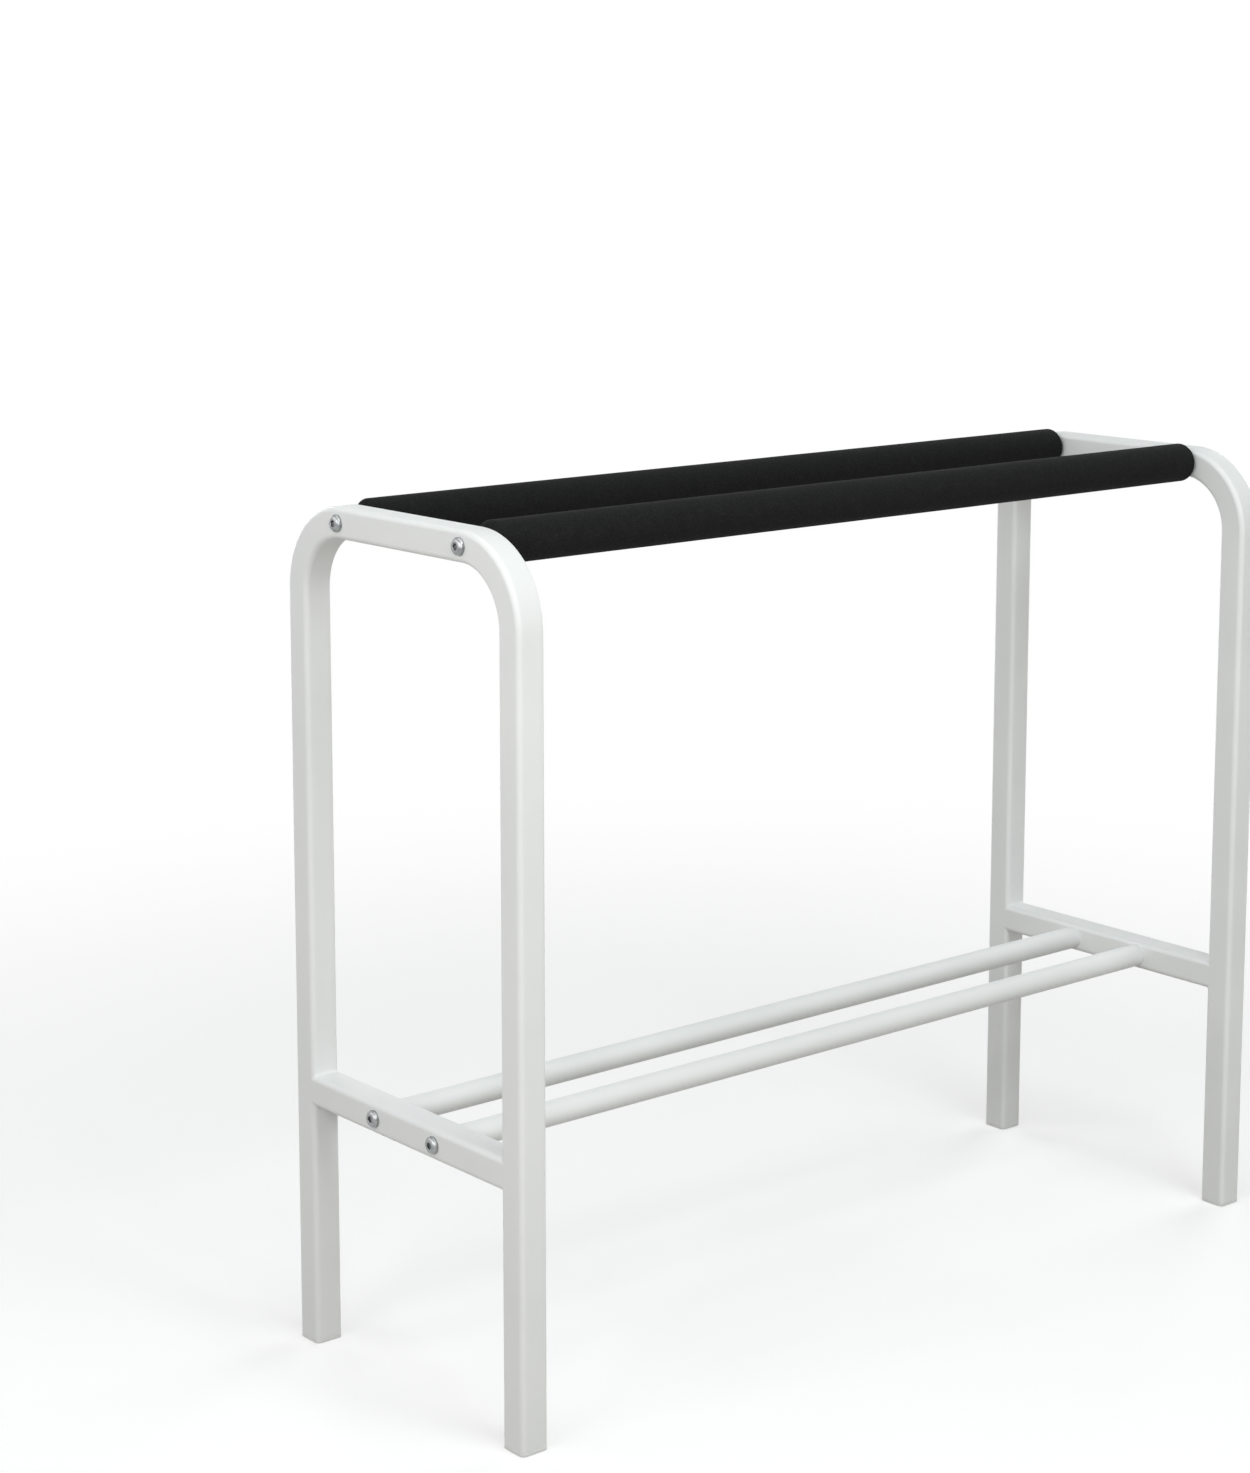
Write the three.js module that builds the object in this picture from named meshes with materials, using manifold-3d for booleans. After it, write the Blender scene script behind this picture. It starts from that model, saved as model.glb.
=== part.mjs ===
// Racket display stand: two bent square-tube end frames, joined by four round rails that are bolted between them.
// Foam sleeves cover the upper rails, on which the racket heads rest, and the lower pair steadies the handles.
// Millimetres, +Z up. The origin is on the floor, midway between the four feet. X runs along the rails, Y to
// the rear.

import * as THREE from "three";
import { mergeVertices } from "three/addons/utils/BufferGeometryUtils.js";
import Module from "manifold-3d";

// Overall size, over the end frames and without the bolt heads and the foam
const standLength = 662;
const standDepth = 236;
const standHeight = 550;

// Square tube of the end frames and of their crossbars
const tubeSide = 20;
const tubeWall = 1.5;
const tubeCornerRadius = 3.5;
const bendOuterRadius = 56;
const crossbarAxisHeight = 170;

// Round rails
const railDiameter = 16;
const railWall = 1.2;
const topRailSpacing = 125;
const lowerRailSpacing = 62;

// Foam sleeves of the upper rails
const foamDiameter = 27;
const foamEndRadius = 4;
const foamEndGap = 0.4;

// Threaded inserts in the ends of the rails
const insertLength = 22;
const insertLandLength = 5;
const insertNeckDepth = 0.8;
const insertChamfer = 0.6;

// Button-head bolts with a hexagonal socket
const boltDiameter = 6;
const boltEngagement = 15;
const boltTipChamfer = 0.8;
const boltHeadDiameter = 11;
const boltHeadHeight = 3.3;
const boltHeadRim = 0.7;
const socketSides = 6;
const socketAcrossFlats = 4;
const socketDepth = 2.1;
const socketRim = 0.5;

// Plastic plugs in the leg ends
const footFlangeThickness = 2.5;
const footEdgeRadius = 0.6;
const plugDepth = 18;
const plugWall = 1.6;
const plugFinDepth = 0.7;
const plugFinThickness = 1;
const plugFinCount = 3;

// Clearance between nested pieces, and the overrun of a cut past the face that it opens
const fitClearance = 0.3;
const cutOverrun = 2;

// Facets
const bendSteps = 10;
const cornerSteps = 3;
const railFacets = 32;
const boltFacets = 20;
const insertFacets = 16;
const domeSteps = 3;
const edgeSteps = 3;
const footEdgeSteps = 1;

// Places that follow from the sizes above
const tubeHalf = tubeSide / 2;
const tubeBore = tubeSide - 2 * tubeWall;
const tubeBoreRadius = Math.max(tubeCornerRadius - tubeWall, tubeWall / 2);
const frameFaceX = standLength / 2;
const frameAxisX = frameFaceX - tubeHalf;
const frameInnerX = frameFaceX - tubeSide;
const railLength = 2 * frameInnerX;
const legAxisY = standDepth / 2 - tubeHalf;
const legInnerY = legAxisY - tubeHalf;
const topRailHeight = standHeight - tubeHalf;
const boltRadius = boltDiameter / 2;
const boltHoleRadius = boltRadius + fitClearance;
const railBoreRadius = railDiameter / 2 - railWall;
const quarterTurn = Math.PI / 2;

// The two ends along X and the two sides along Y, by the sign of their coordinate
const ends = { left: -1, right: 1 };
const sides = { front: -1, rear: 1 };

// The two pairs of rails: where each pair's axes lie
const railPairs = {
  top: { spacing: topRailSpacing, height: topRailHeight },
  lower: { spacing: lowerRailSpacing, height: crossbarAxisHeight },
};

// Finishes
const whitePowderCoat = { color: 0xe6e9e9, roughness: 0.42, metalness: 0 };
const blackFoam = { color: 0x1c1d1d, roughness: 0.95, metalness: 0 };
const zincSteel = { color: 0xb9bcc0, roughness: 0.34, metalness: 1 };
const whitePlastic = { color: 0xe2e5e5, roughness: 0.5, metalness: 0 };

const wasm = await Module();
wasm.setup();

// A closed geometry as a solid that can be joined and cut.
function solidOf(geometry) {
  const bare = geometry.clone();
  bare.deleteAttribute("normal");
  bare.deleteAttribute("uv");
  const merged = mergeVertices(bare);
  return new wasm.Manifold(
    new wasm.Mesh({
      numProp: 3,
      vertProperties: merged.attributes.position.array,
      triVerts: new Uint32Array(merged.index.array),
    }),
  );
}

// A joined or cut solid as a flat-shaded geometry.
function geometryOf(solid) {
  const mesh = solid.getMesh();
  const indexed = new THREE.BufferGeometry();
  indexed.setAttribute("position", new THREE.BufferAttribute(mesh.vertProperties, 3));
  indexed.setIndex(new THREE.BufferAttribute(mesh.triVerts, 1));
  const geometry = indexed.toNonIndexed();
  geometry.computeVertexNormals();
  return geometry;
}

function namedMesh(name, geometry, finish) {
  const mesh = new THREE.Mesh(geometry, new THREE.MeshStandardMaterial(finish));
  mesh.name = name;
  return mesh;
}

// The outline of a square with rounded corners, counterclockwise about its centre.
function roundedSquare(side, radius) {
  const reach = side / 2 - radius;
  const points = [];
  for (let corner = 0; corner < 4; corner += 1) {
    const centre = new THREE.Vector2(reach, reach).rotateAround(new THREE.Vector2(), corner * quarterTurn);
    for (let step = 0; step <= cornerSteps; step += 1) {
      const angle = (corner + step / cornerSteps) * quarterTurn;
      points.push(new THREE.Vector2(radius, 0).rotateAround(new THREE.Vector2(), angle).add(centre));
    }
  }
  return points;
}

// An outline raised along +Z from z = 0, with a bore along its whole height where one is given.
function prism(outline, height, bore) {
  const shape = new THREE.Shape(outline);
  if (bore) shape.holes.push(new THREE.Path(bore));
  return new THREE.ExtrudeGeometry(shape, { depth: height, bevelEnabled: false });
}

// A turned piece along +X. Its profile lists radius and place along the axis, counterclockwise, and either starts
// and ends on the axis or closes on itself.
function turnedAlongX(profile, facets) {
  const points = profile.map(([radius, place]) => new THREE.Vector2(radius, place));
  return new THREE.LatheGeometry(points, facets).rotateZ(-quarterTurn);
}

// The profile of a plain tube from place 0 to its length.
function tubeProfile(boreRadius, outerRadius, length) {
  return [
    [boreRadius, 0],
    [outerRadius, 0],
    [outerRadius, length],
    [boreRadius, length],
    [boreRadius, 0],
  ];
}

// A round cutter along X, about x = 0, for the bolt hole through both walls of a tube.
function boltHoleCutter(y, z) {
  const cutter = new THREE.CylinderGeometry(boltHoleRadius, boltHoleRadius, tubeSide + 2 * cutOverrun, boltFacets);
  return solidOf(cutter.rotateZ(quarterTurn).translate(0, y, z));
}

// The centre line of an arch in the YZ plane: up the front leg, round two bends and down the rear leg. A station
// has its place and the direction that points out of the arch there.
function archStations() {
  const axisRadius = bendOuterRadius - tubeHalf;
  const bendHeight = standHeight - bendOuterRadius;
  const stations = [{ y: -legAxisY, z: footFlangeThickness, outY: -1, outZ: 0 }];
  for (const side of Object.values(sides)) {
    const bendY = side * (standDepth / 2 - bendOuterRadius);
    const startAngle = side < 0 ? Math.PI : quarterTurn;
    for (let step = 0; step <= bendSteps; step += 1) {
      const angle = startAngle - (step / bendSteps) * quarterTurn;
      const outY = Math.cos(angle);
      const outZ = Math.sin(angle);
      stations.push({ y: bendY + axisRadius * outY, z: bendHeight + axisRadius * outZ, outY, outZ });
    }
  }
  stations.push({ y: legAxisY, z: footFlangeThickness, outY: 1, outZ: 0 });
  return stations;
}

// An outline carried to each station: its first axis points out of the arch there, and its second along X.
function skinAlong(stations, outline) {
  return stations.map(({ y, z, outY, outZ }) =>
    outline.map((point) => [point.y, y + point.x * outY, z + point.x * outZ]),
  );
}

// A tube of the given outlines along stations in the YZ plane: outer skin, bore and a flat ring at each end.
function sweptTube(stations, outerOutline, boreOutline) {
  const outer = skinAlong(stations, outerOutline);
  const bore = skinAlong(stations, boreOutline);
  const count = outerOutline.length;
  const last = stations.length - 1;
  const positions = [];
  const quad = (a, b, c, d) => positions.push(...a, ...b, ...c, ...a, ...c, ...d);
  for (let j = 0; j < count; j += 1) {
    const next = (j + 1) % count;
    for (let i = 0; i < last; i += 1) {
      quad(outer[i][j], outer[i][next], outer[i + 1][next], outer[i + 1][j]);
      quad(bore[i][j], bore[i + 1][j], bore[i + 1][next], bore[i][next]);
    }
    quad(outer[0][j], bore[0][j], bore[0][next], outer[0][next]);
    quad(outer[last][j], outer[last][next], bore[last][next], bore[last][j]);
  }
  const geometry = new THREE.BufferGeometry();
  geometry.setAttribute("position", new THREE.Float32BufferAttribute(positions, 3));
  geometry.computeVertexNormals();
  return geometry;
}

// The arch of an end frame, about x = 0, with the bolt holes of the top rails.
function archGeometry() {
  const outer = roundedSquare(tubeSide, tubeCornerRadius);
  const bore = roundedSquare(tubeBore, tubeBoreRadius);
  let arch = solidOf(sweptTube(archStations(), outer, bore));
  for (const side of Object.values(sides)) {
    arch = arch.subtract(boltHoleCutter((side * topRailSpacing) / 2, topRailHeight));
  }
  return geometryOf(arch);
}

// A length of the square tube along Y, about x = 0, at the crossbar's height.
function crossbarTube(halfLength) {
  const outer = roundedSquare(tubeSide, tubeCornerRadius);
  const bore = roundedSquare(tubeBore, tubeBoreRadius);
  const tube = prism(outer, 2 * halfLength, bore).rotateX(quarterTurn);
  return solidOf(tube.translate(0, halfLength, crossbarAxisHeight));
}

// The crossbar of an end frame, about x = 0. Its ends butt against the flat of each leg, and its side walls run on
// into the grooves that the legs' rounded corners leave, where they are welded flush.
function crossbarGeometry() {
  let coped = crossbarTube(legInnerY + tubeCornerRadius);
  const legOutline = roundedSquare(tubeSide + 2 * fitClearance, tubeCornerRadius + fitClearance);
  const cutterHeight = tubeSide + 2 * cutOverrun;
  for (const side of Object.values(sides)) {
    const leg = prism(legOutline, cutterHeight).translate(0, side * legAxisY, crossbarAxisHeight - cutterHeight / 2);
    coped = coped.subtract(solidOf(leg));
  }
  let crossbar = crossbarTube(legInnerY).add(coped);
  for (const side of Object.values(sides)) {
    crossbar = crossbar.subtract(boltHoleCutter((side * lowerRailSpacing) / 2, crossbarAxisHeight));
  }
  return geometryOf(crossbar);
}

function railGeometry() {
  const profile = tubeProfile(railBoreRadius, railDiameter / 2, railLength);
  return turnedAlongX(profile, railFacets).translate(-railLength / 2, 0, 0);
}

// A foam sleeve: a thick tube whose outer edges are rounded, just clear of the rail and of both end frames.
function foamGeometry() {
  const length = railLength - 2 * foamEndGap;
  const boreRadius = railDiameter / 2 + fitClearance;
  const edgeCentreRadius = foamDiameter / 2 - foamEndRadius;
  const profile = [[boreRadius, 0]];
  for (const end of [0, 1]) {
    const edgeCentre = end ? length - foamEndRadius : foamEndRadius;
    for (let step = 0; step <= edgeSteps; step += 1) {
      const angle = (end - 1 + step / edgeSteps) * quarterTurn;
      profile.push([
        edgeCentreRadius + foamEndRadius * Math.cos(angle),
        edgeCentre + foamEndRadius * Math.sin(angle),
      ]);
    }
  }
  profile.push([boreRadius, length], [boreRadius, 0]);
  return turnedAlongX(profile, railFacets).translate(-length / 2, 0, 0);
}

// A threaded insert, from its outer face at x = 0: two lands that fill the rail's bore, and a neck between them.
function insertGeometry() {
  const landRadius = railBoreRadius - fitClearance;
  const neckRadius = landRadius - insertNeckDepth;
  const neckStart = insertLandLength + insertNeckDepth;
  const profile = [
    [boltHoleRadius, 0],
    [landRadius - insertChamfer, 0],
    [landRadius, insertChamfer],
    [landRadius, insertLandLength],
    [neckRadius, neckStart],
    [neckRadius, insertLength - neckStart],
    [landRadius, insertLength - insertLandLength],
    [landRadius, insertLength - insertChamfer],
    [landRadius - insertChamfer, insertLength],
    [boltHoleRadius, insertLength],
    [boltHoleRadius, 0],
  ];
  return turnedAlongX(profile, insertFacets);
}

// A bolt, from the underside of its head at x = 0: the domed head reaches to -X and the shank to +X.
function boltGeometry() {
  const length = tubeSide + boltEngagement;
  const crownRadius = socketAcrossFlats / Math.sqrt(3) + socketRim;
  const profile = [[0, -boltHeadHeight]];
  for (let step = 0; step <= domeSteps; step += 1) {
    const angle = (step / domeSteps) * quarterTurn;
    profile.push([
      crownRadius + (boltHeadDiameter / 2 - crownRadius) * Math.sin(angle),
      -boltHeadRim - (boltHeadHeight - boltHeadRim) * Math.cos(angle),
    ]);
  }
  profile.push(
    [boltHeadDiameter / 2, 0],
    [boltRadius, 0],
    [boltRadius, length - boltTipChamfer],
    [boltRadius - boltTipChamfer, length],
    [0, length],
  );
  const socketRadius = socketAcrossFlats / Math.sqrt(3);
  const socketLength = socketDepth + cutOverrun;
  const socket = new THREE.CylinderGeometry(socketRadius, socketRadius, socketLength, socketSides);
  socket.rotateZ(quarterTurn).translate(-boltHeadHeight - cutOverrun + socketLength / 2, 0, 0);
  return geometryOf(solidOf(turnedAlongX(profile, boltFacets)).subtract(solidOf(socket)));
}

// A foot plug that stands on z = 0: a flange as wide as the tube, and a hollow body that fins hold in the bore.
function footGeometry() {
  const flangeOutline = roundedSquare(tubeSide - 2 * footEdgeRadius, tubeCornerRadius - footEdgeRadius);
  const flange = new THREE.ExtrudeGeometry(new THREE.Shape(flangeOutline), {
    depth: footFlangeThickness - 2 * footEdgeRadius,
    bevelThickness: footEdgeRadius,
    bevelSize: footEdgeRadius,
    bevelSegments: footEdgeSteps,
  }).translate(0, 0, footEdgeRadius);
  const finSide = tubeBore - 2 * fitClearance;
  const bodySide = finSide - 2 * plugFinDepth;
  const body = prism(roundedSquare(bodySide, tubeBoreRadius), footFlangeThickness / 2 + plugDepth);
  body.translate(0, 0, footFlangeThickness / 2);
  let plug = solidOf(flange).add(solidOf(body));
  const finPitch = plugDepth / plugFinCount;
  for (let fin = 0; fin < plugFinCount; fin += 1) {
    const finTop = footFlangeThickness + finPitch * (fin + 1) - plugFinThickness;
    const ring = prism(roundedSquare(finSide, tubeBoreRadius), plugFinThickness);
    plug = plug.add(solidOf(ring.translate(0, 0, finTop - plugFinThickness)));
  }
  const hollow = prism(roundedSquare(bodySide - 2 * plugWall, tubeBoreRadius), plugDepth + cutOverrun);
  return geometryOf(plug.subtract(solidOf(hollow.translate(0, 0, footFlangeThickness))));
}

const stand = new THREE.Group();

for (const [end, endSign] of Object.entries(ends)) {
  const frame = new THREE.Group();
  frame.position.x = endSign * frameAxisX;
  frame.add(namedMesh(`${end}_end_arch`, archGeometry(), whitePowderCoat));
  frame.add(namedMesh(`${end}_crossbar`, crossbarGeometry(), whitePowderCoat));
  for (const [side, sideSign] of Object.entries(sides)) {
    const foot = namedMesh(`${end}_${side}_foot`, footGeometry(), whitePlastic);
    foot.position.y = sideSign * legAxisY;
    frame.add(foot);
  }
  stand.add(frame);
}

for (const [pair, { spacing, height }] of Object.entries(railPairs)) {
  for (const [side, sideSign] of Object.entries(sides)) {
    const line = new THREE.Group();
    line.position.set(0, (sideSign * spacing) / 2, height);
    line.add(namedMesh(`${side}_${pair}_rail`, railGeometry(), whitePowderCoat));
    if (pair === "top") line.add(namedMesh(`${side}_foam_sleeve`, foamGeometry(), blackFoam));
    for (const [end, endSign] of Object.entries(ends)) {
      const insert = namedMesh(`${end}_${side}_${pair}_insert`, insertGeometry(), zincSteel);
      const bolt = namedMesh(`${end}_${side}_${pair}_bolt`, boltGeometry(), zincSteel);
      insert.position.x = endSign * frameInnerX;
      bolt.position.x = endSign * frameFaceX;
      for (const piece of [insert, bolt]) {
        if (endSign > 0) piece.rotation.z = Math.PI;
        line.add(piece);
      }
    }
    stand.add(line);
  }
}

export default stand;
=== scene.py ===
import math

import bpy
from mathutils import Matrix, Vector, noise


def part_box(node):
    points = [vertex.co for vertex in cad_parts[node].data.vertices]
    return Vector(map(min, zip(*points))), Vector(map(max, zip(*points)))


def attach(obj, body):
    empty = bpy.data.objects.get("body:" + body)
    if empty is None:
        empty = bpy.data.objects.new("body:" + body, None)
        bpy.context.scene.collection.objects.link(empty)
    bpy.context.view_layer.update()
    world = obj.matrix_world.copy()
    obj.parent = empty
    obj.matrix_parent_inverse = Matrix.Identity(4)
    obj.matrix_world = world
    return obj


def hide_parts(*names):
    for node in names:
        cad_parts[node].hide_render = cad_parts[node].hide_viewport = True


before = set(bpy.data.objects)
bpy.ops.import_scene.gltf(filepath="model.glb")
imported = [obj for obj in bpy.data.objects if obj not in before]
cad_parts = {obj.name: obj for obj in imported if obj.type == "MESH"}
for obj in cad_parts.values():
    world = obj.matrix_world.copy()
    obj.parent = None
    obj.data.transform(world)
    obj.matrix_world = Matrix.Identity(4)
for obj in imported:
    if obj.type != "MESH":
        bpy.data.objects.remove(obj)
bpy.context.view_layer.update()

MM = 0.001
QUARTER_TURN = math.pi / 2
FULL_TURN = 2 * math.pi
BODY = "root"

# The two ends along X and the two sides along Y, by the sign of their coordinate
LEFT = -1
RIGHT = 1
FRONT = -1
REAR = 1
ENDS = {"left": LEFT, "right": RIGHT}
SIDES = {"front": FRONT, "rear": REAR}

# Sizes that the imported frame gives
arch_low, arch_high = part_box("right_end_arch")
bar_low, bar_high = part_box("right_crossbar")
lower_low, lower_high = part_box("rear_lower_rail")
foam_low, foam_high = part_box("rear_foam_sleeve")
core_low, core_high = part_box("rear_top_rail")
bolt_low, bolt_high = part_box("right_rear_top_bolt")
_, foot_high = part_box("right_rear_foot")

TUBE_SIDE = arch_high.x - arch_low.x
STAND_DEPTH = arch_high.y - arch_low.y
STAND_HEIGHT = arch_high.z
FRAME_FACE_X = arch_high.x
FRAME_AXIS_X = FRAME_FACE_X - TUBE_SIDE / 2
FRAME_INNER_X = arch_low.x
LEG_AXIS_Y = STAND_DEPTH / 2 - TUBE_SIDE / 2
LEG_INNER_Y = STAND_DEPTH / 2 - TUBE_SIDE
FLANGE_THICKNESS = arch_low.z
CROSSBAR_HEIGHT = (bar_low.z + bar_high.z) / 2
RAIL_RADIUS = (lower_high.z - lower_low.z) / 2
LOWER_RAIL_Y = (lower_low.y + lower_high.y) / 2
TOP_RAIL_Y = (core_low.y + core_high.y) / 2
TOP_RAIL_HEIGHT = (core_low.z + core_high.z) / 2
FOAM_RADIUS = (foam_high.z - foam_low.z) / 2
FOAM_END_X = foam_high.x
BOLT_HEAD_RADIUS = (bolt_high.z - bolt_low.z) / 2
BOLT_HEAD_HEIGHT = bolt_high.x - FRAME_FACE_X
BOLT_TIP_DEPTH = FRAME_FACE_X - bolt_low.x
PLUG_TOP = foot_high.z

# Sizes that a box can't give, as the part's source has them
TUBE_WALL = 1.5 * MM
TUBE_CORNER_RADIUS = 3.5 * MM
BEND_OUTER_RADIUS = 56 * MM
RAIL_WALL = 1.2 * MM
BOLT_HOLE_RADIUS = 3.3 * MM
FOAM_END_RADIUS = 4 * MM
FOAM_BORE_GAP = 0.3 * MM

# Fine detail that only the scene has
TUBE_END_CHAMFER = 0.3 * MM
RAIL_END_CHAMFER = 0.25 * MM
WELD_RADIUS = 1.6 * MM
WELD_BLEND = 0.5 * MM
WELD_EMBED = 0.3 * MM
WELD_RIPPLE_PITCH = 1.7 * MM
WELD_RIPPLE_SHARE = 0.12

# Facets of a tube's corners and of a whole turn of a rail or sleeve
CORNER_STEPS = 8
ROUND_STEPS = 96


# Meshes

def tube_outline(inset=0.0, flat_steps=1):
    """The square tube's outline with its rounded corners, or one inset from it, counterclockwise.

    Each point is its place (u, v) across the tube and the outline's normal there (u, v).
    """
    least_corner_radius = 0.8 * MM
    radius = max(TUBE_CORNER_RADIUS - inset, least_corner_radius)
    reach = (TUBE_SIDE - 2 * inset) / 2 - radius
    points = []
    for corner in range(4):
        start = corner * QUARTER_TURN
        centre_u = reach * (1 if corner in (0, 3) else -1)
        centre_v = reach * (1 if corner in (0, 1) else -1)
        for step in range(CORNER_STEPS + 1):
            angle = start + step / CORNER_STEPS * QUARTER_TURN
            nu, nv = math.cos(angle), math.sin(angle)
            points.append((centre_u + radius * nu, centre_v + radius * nv, nu, nv))
        end = start + QUARTER_TURN
        nu, nv = math.cos(end), math.sin(end)
        for step in range(1, flat_steps):
            along = 2 * reach * step / flat_steps
            u = centre_u + radius * nu - along * nv
            v = centre_v + radius * nv + along * nu
            points.append((u, v, nu, nv))
    return points


def circle_along_x(x, y, z, radius, count):
    """A ring about an axis along X, counterclockwise about +X."""
    return [
        (x, y + radius * math.cos(angle), z + radius * math.sin(angle))
        for angle in (FULL_TURN * k / count for k in range(count))
    ]


def skin(rings, closed=False):
    """Vertices and faces of a surface through rings of equally many points.

    It is capped at both ends, or its last ring joins its first where it is closed.
    """
    count = len(rings[0])
    vertices = [point for ring in rings for point in ring]
    faces = []
    pairs = len(rings) if closed else len(rings) - 1
    for i in range(pairs):
        near = i * count
        far = (i + 1) % len(rings) * count
        for j in range(count):
            next_j = (j + 1) % count
            faces.append((near + j, near + next_j, far + next_j, far + j))
    if not closed:
        last = (len(rings) - 1) * count
        faces.append(tuple(reversed(range(count))))
        faces.append(tuple(range(last, last + count)))
    return vertices, faces


def arch_stations():
    """The arch's centre line in the YZ plane, from its front foot to its rear one.

    Each station is its place (y, z) and the direction (y, z) that points out of the arch.
    """
    bend_steps = 40
    axis_radius = BEND_OUTER_RADIUS - TUBE_SIDE / 2
    bend_height = STAND_HEIGHT - BEND_OUTER_RADIUS
    stations = [(-LEG_AXIS_Y, FLANGE_THICKNESS, -1.0, 0.0)]
    for side in (FRONT, REAR):
        bend_y = side * (STAND_DEPTH / 2 - BEND_OUTER_RADIUS)
        start = math.pi if side == FRONT else QUARTER_TURN
        for step in range(bend_steps + 1):
            angle = start - step / bend_steps * QUARTER_TURN
            out_y, out_z = math.cos(angle), math.sin(angle)
            y = bend_y + axis_radius * out_y
            z = bend_height + axis_radius * out_z
            stations.append((y, z, out_y, out_z))
    stations.append((LEG_AXIS_Y, FLANGE_THICKNESS, 1.0, 0.0))
    return stations


def arch_shape(x):
    """A hollow bent tube: its skin from the front foot to the rear one, and its bore back again.

    Its cut ends are deburred.
    """
    def raised(station):
        y, z, out_y, out_z = station
        return y, z + TUBE_END_CHAMFER, out_y, out_z

    stations = arch_stations()
    front_end = stations[0]
    rear_end = stations[-1]
    deburred = tube_outline(TUBE_END_CHAMFER)
    runs = (
        (deburred, [front_end]),
        (tube_outline(), [raised(front_end), *stations[1:-1], raised(rear_end)]),
        (deburred, [rear_end]),
        (tube_outline(TUBE_WALL), stations[::-1]),
    )
    rings = []
    for outline, route in runs:
        for y, z, out_y, out_z in route:
            rings.append([(x + v, y + u * out_y, z + u * out_z) for u, v, _, _ in outline])
    return skin(rings, closed=True)


def leg_surface_y(across):
    """How far from the middle a leg's inner surface lies, at a place across the leg.

    The leg's corners round away from the crossbar.
    """
    beyond = abs(across) - (TUBE_SIDE / 2 - TUBE_CORNER_RADIUS)
    if beyond <= 0:
        return LEG_INNER_Y
    inside = max(TUBE_CORNER_RADIUS**2 - beyond**2, 0.0)
    return LEG_INNER_Y + TUBE_CORNER_RADIUS - math.sqrt(inside)


def weld_rings(x, side, outline):
    """A crossbar's rings at one leg: the weld's curve out to the leg, and a last ring just inside the leg."""
    fillet_steps = 10
    rings = []
    for step in range(fillet_steps + 1):
        angle = step / fillet_steps * QUARTER_TURN
        ring = []
        for u, v, _, nv in outline:
            ripple = 1 + WELD_RIPPLE_SHARE * math.sin(FULL_TURN * u / WELD_RIPPLE_PITCH)
            # The weld is full above and below the bar, and nothing at its sides
            radius = WELD_RADIUS * nv * nv * ripple
            back = (radius + WELD_BLEND) * (1 - math.sin(angle))
            lift = math.copysign(radius * (1 - math.cos(angle)), nv)
            ring.append((x + u, side * (leg_surface_y(u) - back), CROSSBAR_HEIGHT + v + lift))
        rings.append(ring)
    inside_share = 1 - 2 * WELD_EMBED / TUBE_SIDE
    embedded = []
    for (_, _, z), (u, _, _, _) in zip(rings[-1], outline):
        y = side * (leg_surface_y(u) + WELD_EMBED)
        height = CROSSBAR_HEIGHT + (z - CROSSBAR_HEIGHT) * inside_share
        embedded.append((x + u * inside_share, y, height))
    return rings + [embedded]


def crossbar_shape(x):
    """A hollow crossbar, with a concave weld to each leg above and below, and sides flush with the legs'."""
    # Enough points along each flat side to carry the weld's ripple
    flat_steps = 35
    outline = tube_outline(flat_steps=flat_steps)
    bore = tube_outline(TUBE_WALL, flat_steps)
    rings = weld_rings(x, FRONT, outline)[::-1] + weld_rings(x, REAR, outline)
    for side in (REAR, FRONT):
        rings.append([
            (x + u, side * (leg_surface_y(u) + WELD_EMBED), CROSSBAR_HEIGHT + v)
            for u, v, _, _ in bore
        ])
    # The outline runs counterclockwise about -Y, so the rings are listed from rear to front
    return skin(rings[::-1], closed=True)


def rail_shape(y, z):
    """A hollow round rail with lightly broken end edges."""
    bore = RAIL_RADIUS - RAIL_WALL
    broken = RAIL_RADIUS - RAIL_END_CHAMFER
    end_x = FRAME_INNER_X
    profile = [
        (-end_x, broken),
        (-end_x + RAIL_END_CHAMFER, RAIL_RADIUS),
        (end_x - RAIL_END_CHAMFER, RAIL_RADIUS),
        (end_x, broken),
        (end_x, bore),
        (-end_x, bore),
    ]
    return skin([circle_along_x(x, y, z, radius, ROUND_STEPS) for x, radius in profile], closed=True)


def foam_profile():
    """The outside of a foam sleeve, from its left end to its right one: (x, radius) of each ring."""
    ring_pitch = 4 * MM
    edge_steps = 8
    edge_x = FOAM_END_X - FOAM_END_RADIUS
    edge = []
    for step in range(edge_steps + 1):
        angle = step / edge_steps * QUARTER_TURN
        radius = FOAM_RADIUS - FOAM_END_RADIUS * (1 - math.cos(angle))
        edge.append((edge_x + FOAM_END_RADIUS * math.sin(angle), radius))
    left_edge = [(-x, radius) for x, radius in reversed(edge)]
    straight = 2 * edge_x
    pieces = round(straight / ring_pitch)
    middle = [(straight * k / pieces - edge_x, FOAM_RADIUS) for k in range(1, pieces)]
    return left_edge + middle + edge


def foam_shape(y, z, seed):
    """A thick foam tube with rounded ends. Its skin is very slightly uneven, as pushed-on foam is.

    The seed moves the unevenness, so that the two sleeves differ.
    """
    unevenness = 0.12 * MM
    waves_along = 22.0
    waves_around = 44.0
    rings = []
    for x, radius in foam_profile():
        ring = []
        for px, py, pz in circle_along_x(x, 0.0, 0.0, radius, ROUND_STEPS):
            place = Vector((px * waves_along + seed, py * waves_around, pz * waves_around))
            # The noise runs from -1 to 1, so the skin only dips inwards
            swell = 1 + unevenness * (noise.noise(place) - 1) / 2 / radius
            ring.append((px, y + py * swell, z + pz * swell))
        rings.append(ring)
    for x in (FOAM_END_X, -FOAM_END_X):
        rings.append(circle_along_x(x, y, z, RAIL_RADIUS + FOAM_BORE_GAP, ROUND_STEPS))
    return skin(rings, closed=True)


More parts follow.
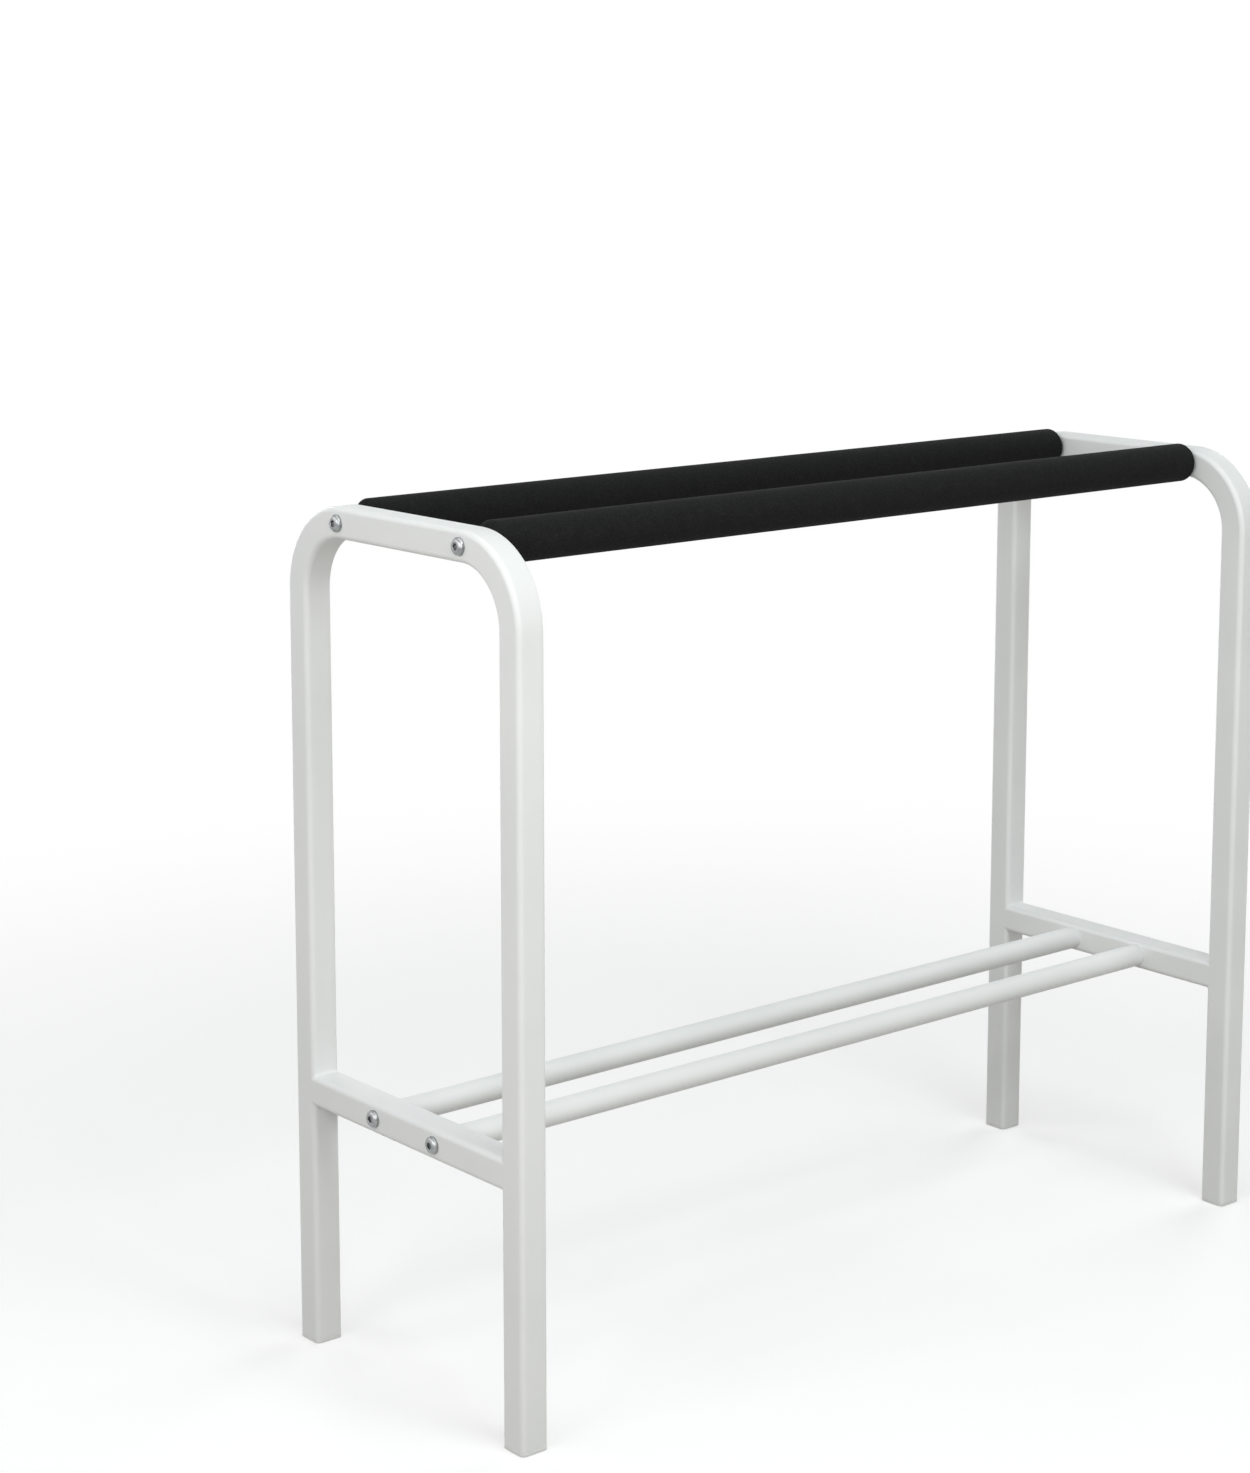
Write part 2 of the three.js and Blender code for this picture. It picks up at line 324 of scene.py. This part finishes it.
def bolt_shape(end, y, z, turn):
    """A button-head bolt with a hexagonal socket. Heights run outwards from the frame's face."""
    facets = 48
    dome_steps = 12
    socket_flat = 4 * MM
    socket_depth = 2.1 * MM
    socket_chamfer = 0.15 * MM
    socket_floor_radius = 1.2 * MM
    crown_margin = 0.5 * MM
    rim_height = 0.7 * MM
    edge = 0.12 * MM
    shank_radius = 3 * MM
    tip_chamfer = 0.8 * MM
    crown_radius = socket_flat / math.sqrt(3) + crown_margin
    head = BOLT_HEAD_HEIGHT

    def hexagon(margin):
        sixth_turn = math.pi / 3
        return lambda angle: socket_flat / 2 / math.cos(angle % sixth_turn - sixth_turn / 2) + margin

    def circle(radius):
        return lambda angle: radius

    profile = [
        (head - socket_depth, circle(socket_floor_radius)),
        (head - socket_depth + edge, hexagon(0.0)),
        (head - socket_chamfer, hexagon(0.0)),
        (head, hexagon(socket_chamfer)),
        (head, circle(crown_radius)),
    ]
    for step in range(1, dome_steps + 1):
        angle = step / dome_steps * QUARTER_TURN
        radius = crown_radius + (BOLT_HEAD_RADIUS - crown_radius) * math.sin(angle)
        height = rim_height + (head - rim_height) * math.cos(angle)
        profile.append((height, circle(radius)))
    profile += [
        (edge, circle(BOLT_HEAD_RADIUS)),
        (0.0, circle(BOLT_HEAD_RADIUS - edge)),
        (0.0, circle(shank_radius)),
        (tip_chamfer - BOLT_TIP_DEPTH, circle(shank_radius)),
        (-BOLT_TIP_DEPTH, circle(shank_radius - tip_chamfer)),
    ]
    rings = []
    for height, radius_at in profile:
        x = end * (FRAME_FACE_X + height)
        ring = []
        for k in range(facets):
            angle = FULL_TURN * k / facets
            radius = radius_at(angle)
            around = turn + angle
            ring.append((x, y + radius * math.cos(around), z + radius * math.sin(around)))
        rings.append(ring)
    return skin(rings[::-1] if end == RIGHT else rings)


def foot_shape(x, y):
    """A moulded plug: a flange with soft edges under the leg, and a hollow body with fins inside it."""
    floor_edge = 0.7 * MM
    top_edge = 0.5 * MM
    edge_steps = 5
    fin_gap = 0.3 * MM
    fin_depth = 0.7 * MM
    fin_thickness = 1 * MM
    fin_count = 3
    plug_wall = 1.6 * MM
    fin_inset = TUBE_WALL + fin_gap
    body_inset = fin_inset + fin_depth
    fin_pitch = (PLUG_TOP - FLANGE_THICKNESS) / fin_count

    # Each ring's inset from the tube's outline, and its height
    profile = []
    angles = [step / edge_steps * QUARTER_TURN for step in range(edge_steps + 1)]
    for angle in angles:
        profile.append((floor_edge * (1 - math.sin(angle)), floor_edge * (1 - math.cos(angle))))
    for angle in angles:
        below_top = top_edge * (1 - math.sin(angle))
        profile.append((top_edge * (1 - math.cos(angle)), FLANGE_THICKNESS - below_top))
    profile.append((body_inset, FLANGE_THICKNESS))
    for fin in range(fin_count):
        top = FLANGE_THICKNESS + fin_pitch * (fin + 1) - fin_thickness
        bottom = top - fin_thickness
        profile += [(body_inset, bottom), (fin_inset, bottom), (fin_inset, top), (body_inset, top)]
    profile += [
        (body_inset, PLUG_TOP),
        (body_inset + plug_wall, PLUG_TOP),
        (body_inset + plug_wall, FLANGE_THICKNESS),
    ]
    return skin([[(x + u, y + v, z) for u, v, _, _ in tube_outline(inset)] for inset, z in profile])


# Materials

# Most values of a noise texture lie between these
NOISE_LOW = 0.3
NOISE_HIGH = 0.7

# The darkest and the palest shade of each finish
COAT_COLOURS = ((0.78, 0.80, 0.798), (0.82, 0.836, 0.832))
FOAM_COLOURS = ((0.0092, 0.0095, 0.0095), (0.0157, 0.0161, 0.016))
ZINC_COLOURS = ((0.25, 0.26, 0.262), (0.36, 0.37, 0.372))
PLASTIC_COLOURS = ((0.72, 0.73, 0.725), (0.77, 0.78, 0.775))


def new_material(name):
    """A new material, with its node tree and its Principled shader."""
    material = bpy.data.materials.new(name)
    material.use_nodes = True
    tree = material.node_tree
    return material, tree, tree.nodes["Principled BSDF"]


def object_point(tree):
    """A surface point's place in its object, which is its place in the stand."""
    return tree.nodes.new("ShaderNodeTexCoord").outputs["Object"]


def noise_texture(tree, point, scale, detail, roughness=0.5):
    """The value of a noise texture. Its scale counts waves in a metre."""
    texture = tree.nodes.new("ShaderNodeTexNoise")
    texture.inputs["Scale"].default_value = scale
    texture.inputs["Detail"].default_value = detail
    texture.inputs["Roughness"].default_value = roughness
    tree.links.new(point, texture.inputs["Vector"])
    return texture.outputs["Fac"]


def ranged(tree, value, low, high, from_low=NOISE_LOW, from_high=NOISE_HIGH):
    """Maps a texture's usual range to low and high."""
    remap = tree.nodes.new("ShaderNodeMapRange")
    remap.inputs["From Min"].default_value = from_low
    remap.inputs["From Max"].default_value = from_high
    remap.inputs["To Min"].default_value = low
    remap.inputs["To Max"].default_value = high
    tree.links.new(value, remap.inputs["Value"])
    return remap.outputs["Result"]


def blended(tree, value, colours):
    """A colour between two, by a noise texture's value."""
    ramp = tree.nodes.new("ShaderNodeValToRGB")
    dark, pale = ramp.color_ramp.elements
    dark.position = NOISE_LOW
    dark.color = (*colours[0], 1)
    pale.position = NOISE_HIGH
    pale.color = (*colours[1], 1)
    tree.links.new(value, ramp.inputs["Fac"])
    return ramp.outputs["Color"]


def bumped(tree, height, strength, distance, under=None):
    """A normal tilted by a texture's value, on top of the bump under it where there is one."""
    bump = tree.nodes.new("ShaderNodeBump")
    bump.inputs["Strength"].default_value = strength
    bump.inputs["Distance"].default_value = distance
    tree.links.new(height, bump.inputs["Height"])
    if under:
        tree.links.new(under, bump.inputs["Normal"])
    return bump.outputs["Normal"]


def powder_coat_material():
    """White powder coat: cool white, satin, with the fine orange peel that cured powder has."""
    material, tree, shader = new_material("white_powder_coat")
    point = object_point(tree)
    tone = noise_texture(tree, point, scale=14.0, detail=3.0)
    tree.links.new(blended(tree, tone, COAT_COLOURS), shader.inputs["Base Color"])
    gloss = noise_texture(tree, point, scale=60.0, detail=3.0)
    tree.links.new(ranged(tree, gloss, low=0.44, high=0.54), shader.inputs["Roughness"])
    peel = noise_texture(tree, point, scale=700.0, detail=1.0)
    grain = noise_texture(tree, point, scale=2600.0, detail=1.0)
    normal = bumped(tree, peel, strength=0.30, distance=0.15 * MM)
    normal = bumped(tree, grain, strength=0.10, distance=0.05 * MM, under=normal)
    tree.links.new(normal, shader.inputs["Normal"])
    shader.inputs["IOR"].default_value = 1.5
    return material


def foam_material():
    """Black closed-cell foam: matt, with fine pores and a faintly mottled skin. Its colour is painted darker
    in the dip of each pore, as painted shade.
    """
    material, tree, shader = new_material("black_foam")
    point = object_point(tree)
    mottle = noise_texture(tree, point, scale=110.0, detail=5.0, roughness=0.65)
    pores = tree.nodes.new("ShaderNodeTexVoronoi")
    pores.inputs["Scale"].default_value = 1100.0
    tree.links.new(point, pores.inputs["Vector"])
    depth = pores.outputs["Distance"]
    # Painted shade: the colour is darkened towards each pore's middle, where the bump sinks it
    pore_shaded_colour = tree.nodes.new("ShaderNodeMix")
    pore_shaded_colour.data_type = "RGBA"
    pore_shaded_colour.blend_type = "MULTIPLY"
    pore_shaded_colour.inputs["Factor"].default_value = 1.0
    tree.links.new(blended(tree, mottle, FOAM_COLOURS), pore_shaded_colour.inputs["A"])
    pore_shade = ranged(tree, depth, low=0.55, high=1.15, from_low=0.1, from_high=0.7)
    tree.links.new(pore_shade, pore_shaded_colour.inputs["B"])
    tree.links.new(pore_shaded_colour.outputs["Result"], shader.inputs["Base Color"])
    tree.links.new(ranged(tree, mottle, low=0.80, high=0.95), shader.inputs["Roughness"])
    waves = noise_texture(tree, point, scale=260.0, detail=3.0)
    normal = bumped(tree, waves, strength=0.6, distance=0.4 * MM)
    normal = bumped(tree, depth, strength=0.8, distance=0.25 * MM, under=normal)
    tree.links.new(normal, shader.inputs["Normal"])
    shader.inputs["Specular IOR Level"].default_value = 0.07
    return material


def zinc_material():
    """Bright zinc on steel: cloudy, with fine turned and tumbled marks."""
    material, tree, shader = new_material("bright_zinc")
    point = object_point(tree)
    cloud = noise_texture(tree, point, scale=350.0, detail=3.0)
    tree.links.new(blended(tree, cloud, ZINC_COLOURS), shader.inputs["Base Color"])
    tree.links.new(ranged(tree, cloud, low=0.24, high=0.40), shader.inputs["Roughness"])
    marks = noise_texture(tree, point, scale=4000.0, detail=1.0)
    tree.links.new(bumped(tree, marks, strength=0.10, distance=0.02 * MM), shader.inputs["Normal"])
    shader.inputs["Metallic"].default_value = 1.0
    return material


def plug_material():
    """White moulded plastic with a fine spark-eroded texture."""
    material, tree, shader = new_material("white_plastic")
    point = object_point(tree)
    tone = noise_texture(tree, point, scale=120.0, detail=2.0)
    tree.links.new(blended(tree, tone, PLASTIC_COLOURS), shader.inputs["Base Color"])
    tree.links.new(ranged(tree, tone, low=0.46, high=0.56), shader.inputs["Roughness"])
    grain = noise_texture(tree, point, scale=3000.0, detail=1.0)
    tree.links.new(bumped(tree, grain, strength=0.2, distance=0.05 * MM), shader.inputs["Normal"])
    return material


# The material of each of the record's slots
FINISHES = {
    "powder_coat": powder_coat_material(),
    "foam": foam_material(),
    "zinc": zinc_material(),
    "plug_plastic": plug_material(),
}


# Pieces of the stand

SHARP_DEGREES = 35.0
FOAM_SHARP_DEGREES = 60.0
HOLE_FACETS = 44

# Tightened bolts stop at different turns, so each is turned on from the last one
BOLT_TURN_STEP = math.radians(37)

# The axis of each pair's rear rail: its place along Y, and its height
RAIL_LINES = {"top": (TOP_RAIL_Y, TOP_RAIL_HEIGHT), "lower": (LOWER_RAIL_Y, CROSSBAR_HEIGHT)}


def new_object(name, shape):
    """An object in the scene, with the vertices and faces of a shape."""
    vertices, faces = shape
    mesh = bpy.data.meshes.new(name)
    mesh.from_pydata(vertices, [], faces)
    mesh.validate()
    piece = bpy.data.objects.new(name, mesh)
    bpy.context.scene.collection.objects.link(piece)
    return piece


def drill(piece, holes):
    """Cuts bolt holes along X through a piece, about the given places."""
    for number, (x, y, z) in enumerate(holes):
        rings = [
            circle_along_x(x + end * TUBE_SIDE, y, z, BOLT_HOLE_RADIUS, HOLE_FACETS)
            for end in (LEFT, RIGHT)
        ]
        cutter = new_object(f"drill_{number}", skin(rings))
        cut = piece.modifiers.new("bolt hole", "BOOLEAN")
        cut.operation = "DIFFERENCE"
        cut.solver = "EXACT"
        cut.object = cutter
        graph = bpy.context.evaluated_depsgraph_get()
        holed = bpy.data.meshes.new_from_object(piece.evaluated_get(graph))
        piece.modifiers.clear()
        piece.data = holed
        bpy.data.objects.remove(cutter)


def add_piece(name, node, slot, shape, holes=(), sharp_degrees=SHARP_DEGREES):
    """A piece that rides on the stand, has a slot's finish and stands for a CAD node.

    It is shaded smoothly, apart from the edges that turn by more than sharp_degrees.
    """
    piece = new_object(name, shape)
    drill(piece, holes)
    mesh = piece.data
    mesh.shade_smooth()
    mesh.set_sharp_from_angle(angle=math.radians(sharp_degrees))
    mesh.materials.append(FINISHES[slot])
    weighted = piece.modifiers.new("flat faces stay flat", "WEIGHTED_NORMAL")
    weighted.keep_sharp = True
    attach(piece, BODY)
    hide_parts(node)
    return piece


def bolt_places(x, pair):
    """Where an end frame's two bolts of a pair of rails pass through it."""
    y, z = RAIL_LINES[pair]
    return [(x, side * y, z) for side in (FRONT, REAR)]


for end, end_sign in ENDS.items():
    x = end_sign * FRAME_AXIS_X
    arch = arch_shape(x)
    add_piece(f"{end}_arch_tube", f"{end}_end_arch", "powder_coat", arch, bolt_places(x, "top"))
    crossbar = crossbar_shape(x)
    add_piece(f"{end}_crossbar_tube", f"{end}_crossbar", "powder_coat", crossbar, bolt_places(x, "lower"))
    for side, side_sign in SIDES.items():
        plug = foot_shape(x, side_sign * LEG_AXIS_Y)
        add_piece(f"{end}_{side}_foot_plug", f"{end}_{side}_foot", "plug_plastic", plug)

bolt_count = 0
for pair, (rail_y, rail_z) in RAIL_LINES.items():
    for side, side_sign in SIDES.items():
        y = side_sign * rail_y
        if pair == "lower":
            rail = rail_shape(y, rail_z)
            add_piece(f"{side}_lower_tube", f"{side}_lower_rail", "powder_coat", rail)
        else:
            foam = foam_shape(y, rail_z, seed=side_sign)
            sleeve = add_piece(
                f"{side}_foam", f"{side}_foam_sleeve", "foam", foam, sharp_degrees=FOAM_SHARP_DEGREES
            )
        for end, end_sign in ENDS.items():
            bolt = bolt_shape(end_sign, y, rail_z, bolt_count * BOLT_TURN_STEP)
            add_piece(f"{end}_{side}_{pair}_screw", f"{end}_{side}_{pair}_bolt", "zinc", bolt)
            bolt_count += 1

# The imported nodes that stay: the rails inside the foam, and the threaded inserts
KEPT_NODE_SLOTS = {"_top_rail": "powder_coat", "_insert": "zinc"}
for name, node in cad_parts.items():
    for ending, slot in KEPT_NODE_SLOTS.items():
        if name.endswith(ending):
            node.data.materials.clear()
            node.data.materials.append(FINISHES[slot])


# Camera

# The photograph's viewing angle. Its camera was level, and its picture was cropped far off its middle. This
# camera tilts down instead, and its shift keeps the legs nearly upright.
CAMERA_PLACE = (-1.3662, -1.4576, 0.7977)
CAMERA_YAW = math.radians(39.747)
CAMERA_PITCH = math.radians(8.703)
CAMERA_SHIFT = -0.12
LENS = 74.0
SENSOR_WIDTH = 36.0
NEAREST_SEEN = 0.05
FARTHEST_SEEN = 100.0

camera_data = bpy.data.cameras.new("camera")
camera_data.sensor_width = SENSOR_WIDTH
camera_data.lens = LENS
camera_data.shift_y = CAMERA_SHIFT
camera_data.clip_start = NEAREST_SEEN
camera_data.clip_end = FARTHEST_SEEN
camera = bpy.data.objects.new("camera", camera_data)
camera.location = CAMERA_PLACE
camera.rotation_euler = (QUARTER_TURN - CAMERA_PITCH, 0.0, -CAMERA_YAW)
bpy.context.scene.collection.objects.link(camera)
bpy.context.scene.camera = camera


# Light and stage

WHITE = (1.0, 1.0, 1.0)
COOL = (0.955, 1.0, 1.0)
WARM = (1.0, 0.985, 0.965)

# Each lamp's place, the side of its square in metres, its power in watts and its colour
LAMPS = {
    "top_light": ((-0.15, 0.0, 1.85), 1.2, 6.3, COOL),
    "high_front_light": ((-0.2, -1.5, 2.0), 1.0, 17.8, COOL),
    "low_front_light": ((0.6, -2.1, 0.4), 1.2, 14.0, WARM),
    "near_left_light": ((-0.9, -0.9, 0.7), 0.6, 3.7, WARM),
    "left_light": ((-2.2, -0.4, 1.2), 1.4, 17.4, WHITE),
    "left_rear_light": ((-1.7, 1.0, 1.2), 1.2, 7.4, WHITE),
    "right_light": ((2.4, 0.4, 0.8), 1.4, 27.0, WHITE),
    "rear_light": ((0.3, 2.5, 0.55), 1.4, 25.0, WHITE),
}

AMBIENT_COLOUR = (0.97, 0.985, 1.0)
AMBIENT_STRENGTH = 0.01

# The floor's colour and glow as they are seen, and the colour of the light that it throws on the stand
FLOOR_COLOUR = (0.62, 0.62, 0.62)
FLOOR_GLOW = 0.42
FLOOR_BOUNCE_COLOUR = (0.345, 0.322, 0.30)
FLOOR_HALF_SIDE = 20.0

# How far from the stand's middle the floor starts to fade to white, and where it is white
FADE_START = 0.55
FADE_END = 1.5


def add_lamp(name, place, size, power, colour):
    """A square lamp that faces the middle of the stand."""
    light = bpy.data.lights.new(name, "AREA")
    light.shape = "SQUARE"
    light.size = size
    light.energy = power
    light.color = colour
    lamp = bpy.data.objects.new(name, light)
    lamp.location = place
    aim = Vector((0.0, 0.0, STAND_HEIGHT / 2)) - Vector(place)
    lamp.rotation_euler = aim.to_track_quat("-Z", "Y").to_euler()
    bpy.context.scene.collection.objects.link(lamp)


def seen_directly(tree):
    """1 for rays from the camera, a mirror-like surface or glass, and 0 for those that light a surface."""
    path = tree.nodes.new("ShaderNodeLightPath")
    value = path.outputs["Is Camera Ray"]
    for kind in ("Is Glossy Ray", "Is Transmission Ray"):
        larger = tree.nodes.new("ShaderNodeMath")
        larger.operation = "MAXIMUM"
        tree.links.new(value, larger.inputs[0])
        tree.links.new(path.outputs[kind], larger.inputs[1])
        value = larger.outputs["Value"]
    return value


def mixed(tree, share, first, second):
    """Two shaders, from the first where the share is 0 to the second where it is 1."""
    mix = tree.nodes.new("ShaderNodeMixShader")
    tree.links.new(share, mix.inputs["Fac"])
    tree.links.new(first, mix.inputs[1])
    tree.links.new(second, mix.inputs[2])
    return mix.outputs["Shader"]


def diffuse(tree, colour):
    """A plain matt surface."""
    node = tree.nodes.new("ShaderNodeBsdfDiffuse")
    node.inputs["Color"].default_value = (*colour, 1)
    return node.outputs["BSDF"]


def glowing(node, colour, strength=1.0):
    """The light of a Background or Emission node. At a strength of 1 it is seen as its colour."""
    node.inputs["Color"].default_value = (*colour, 1)
    node.inputs["Strength"].default_value = strength
    return node.outputs[0]


def make_world():
    """A world that is seen as white, and adds very little to the lamps' light."""
    world = bpy.data.worlds.new("studio")
    world.use_nodes = True
    tree = world.node_tree
    ambient = glowing(tree.nodes["Background"], AMBIENT_COLOUR, AMBIENT_STRENGTH)
    white = glowing(tree.nodes.new("ShaderNodeBackground"), WHITE)
    sky = mixed(tree, seen_directly(tree), ambient, white)
    tree.links.new(sky, tree.nodes["World Output"].inputs["Surface"])
    bpy.context.scene.world = world


def floor_material():
    """A pale floor. It is seen near white with the stand's shadows on it, and fades to white.

    To the stand it is a plain warm grey floor, which lights it from below.
    """
    material, tree, shader = new_material("pale_floor")
    tree.nodes.remove(shader)
    lifted = tree.nodes.new("ShaderNodeAddShader")
    tree.links.new(diffuse(tree, FLOOR_COLOUR), lifted.inputs[0])
    glow = glowing(tree.nodes.new("ShaderNodeEmission"), WHITE, FLOOR_GLOW)
    tree.links.new(glow, lifted.inputs[1])
    distance = tree.nodes.new("ShaderNodeVectorMath")
    distance.operation = "LENGTH"
    tree.links.new(object_point(tree), distance.inputs[0])
    away = tree.nodes.new("ShaderNodeMapRange")
    away.interpolation_type = "SMOOTHSTEP"
    away.inputs["From Min"].default_value = FADE_START
    away.inputs["From Max"].default_value = FADE_END
    tree.links.new(distance.outputs["Value"], away.inputs["Value"])
    white = glowing(tree.nodes.new("ShaderNodeEmission"), WHITE)
    seen = mixed(tree, away.outputs["Result"], lifted.outputs["Shader"], white)
    floor = mixed(tree, seen_directly(tree), diffuse(tree, FLOOR_BOUNCE_COLOUR), seen)
    tree.links.new(floor, tree.nodes["Material Output"].inputs["Surface"])
    return material


def make_floor():
    """A flat square floor at height 0."""
    reach = FLOOR_HALF_SIDE
    corners = [(-reach, -reach, 0), (reach, -reach, 0), (reach, reach, 0), (-reach, reach, 0)]
    mesh = bpy.data.meshes.new("floor")
    mesh.from_pydata(corners, [], [(0, 1, 2, 3)])
    mesh.materials.append(floor_material())
    floor = bpy.data.objects.new("floor", mesh)
    bpy.context.scene.collection.objects.link(floor)


for name, (place, size, power, colour) in LAMPS.items():
    add_lamp(name, place, size, power, colour)
make_world()
make_floor()
bpy.context.scene.view_settings.view_transform = "Standard"
